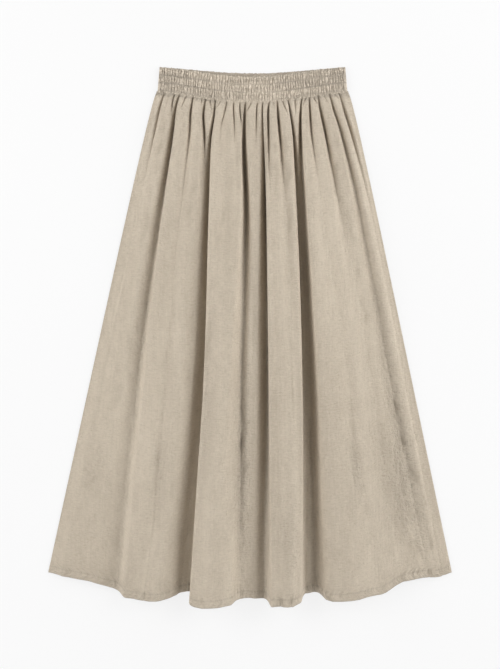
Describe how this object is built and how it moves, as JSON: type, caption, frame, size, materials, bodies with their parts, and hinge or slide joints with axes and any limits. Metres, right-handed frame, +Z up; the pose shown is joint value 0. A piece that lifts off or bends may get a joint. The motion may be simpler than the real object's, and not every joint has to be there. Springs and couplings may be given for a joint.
{
  "type": "gathered a-line midi skirt laid flat",
  "caption": "Gathered A-line midi skirt with a channel-stitched elastic waistband, laid flat with its front up; falls in soft lengthwise folds from the waist to a turned hem.",
  "frame": {"origin": "middle of the skirt's outline, on the surface that it lies on", "axes": "+X to the right of the front as seen from above, +Y from the hem to the waist, +Z up from the surface"},
  "size_m": [0.6611, 0.8774, 0.0407],
  "materials": {
    "front_cloth": "matt washed plain weave of linen and cotton, warm stone",
    "back_cloth": "matt washed plain weave of linen and cotton, warm stone",
    "band_cloth": "the same cloth shirred over elastic in three stitched channels"
  },
  "bodies": {
    "root": {"front_panel": "front_cloth", "back_panel": "back_cloth", "waistband": "band_cloth"}
  },
  "joints": []
}
